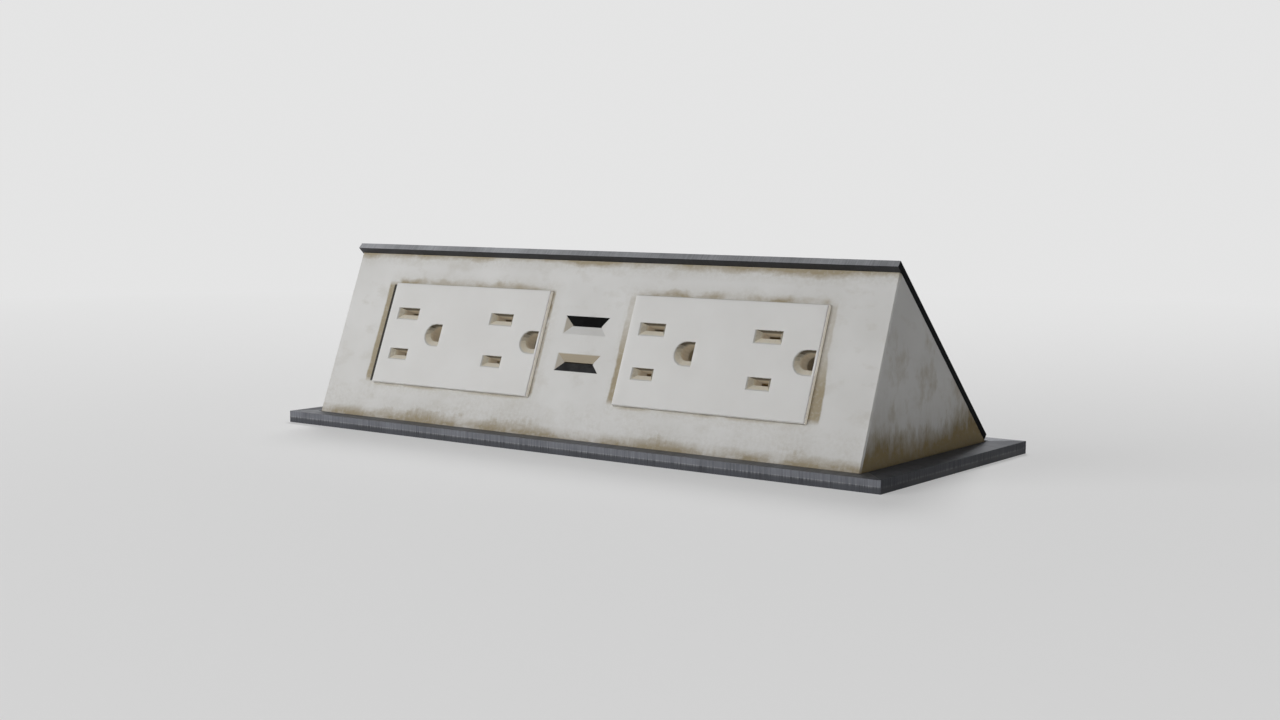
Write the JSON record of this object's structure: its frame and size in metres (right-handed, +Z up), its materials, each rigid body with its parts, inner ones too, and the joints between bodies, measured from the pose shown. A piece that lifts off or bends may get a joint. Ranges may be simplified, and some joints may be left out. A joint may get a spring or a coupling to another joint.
{
  "type": "in-desk power module",
  "caption": "Tilt-up in-desk power module shown raised: ivory wedge of grounded outlets and charging ports under a dark metal lid, hinged in a flat rim over a well.",
  "frame": {"origin": "centre of the rim in X and Y, at the underside of the rim, which is the desk surface", "axes": "+X to the right along the module, +Y to the back where the hinge is, +Z up out of the desk"},
  "size_m": [0.21, 0.0842, 0.1105],
  "materials": {
    "rim_metal": "dark brushed metal, lightly scratched",
    "well_paint": "dark satin paint",
    "plated_steel": "zinc-plated, satin",
    "hinge_steel": "satin",
    "spring_steel": "satin",
    "bush_rubber": "matte",
    "shell_plastic": "matte ivory, grimy at the edges",
    "face_plastic": "matte ivory",
    "body_plastic": "dark moulded resin",
    "contact_brass": "bright",
    "tongue_black": "matte black",
    "board_resin": "satin green"
  },
  "bodies": {
    "housing": {"trim_frame": "rim_metal", "well_tub": "well_paint", "trim_screws": "plated_steel", "hinge_frame_leaf": "hinge_steel", "hinge_pin": "plated_steel", "frame_leaf_screws": "plated_steel", "desk_clips": "spring_steel", "clip_rivets": "plated_steel", "cord_bush": "bush_rubber"},
    "module": {"board_screws": "plated_steel", "charger_block": "body_plastic", "cover_screws": "plated_steel", "earth_strap_left": "plated_steel", "earth_strap_right": "plated_steel", "hinge_lid_leaf": "hinge_steel", "lid_leaf_screws": "plated_steel", "lid_nuts": "plated_steel", "lid_plate": "rim_metal", "module_shell": "shell_plastic", "outlet_screws": "plated_steel", "power_strips_left": "contact_brass", "power_strips_right": "contact_brass", "receptacle_body_left": "body_plastic", "receptacle_body_right": "body_plastic", "receptacle_face_left": "face_plastic", "receptacle_face_right": "face_plastic", "stop_pins": "plated_steel", "terminal_screws": "contact_brass", "usb_board": "board_resin", "usb_port_lower": "plated_steel", "usb_port_upper": "plated_steel", "usb_tongue_lower": "tongue_black", "usb_tongue_upper": "tongue_black", "wiring_cover": "plated_steel"}
  },
  "joints": [
    {"name": "lid_hinge", "type": "hinge", "parent": "housing", "child": "module", "pos_m": [0, 0.03352, 0.00508], "axis": [1, 0, 0], "range_deg": [0, 43.4]}
  ]
}
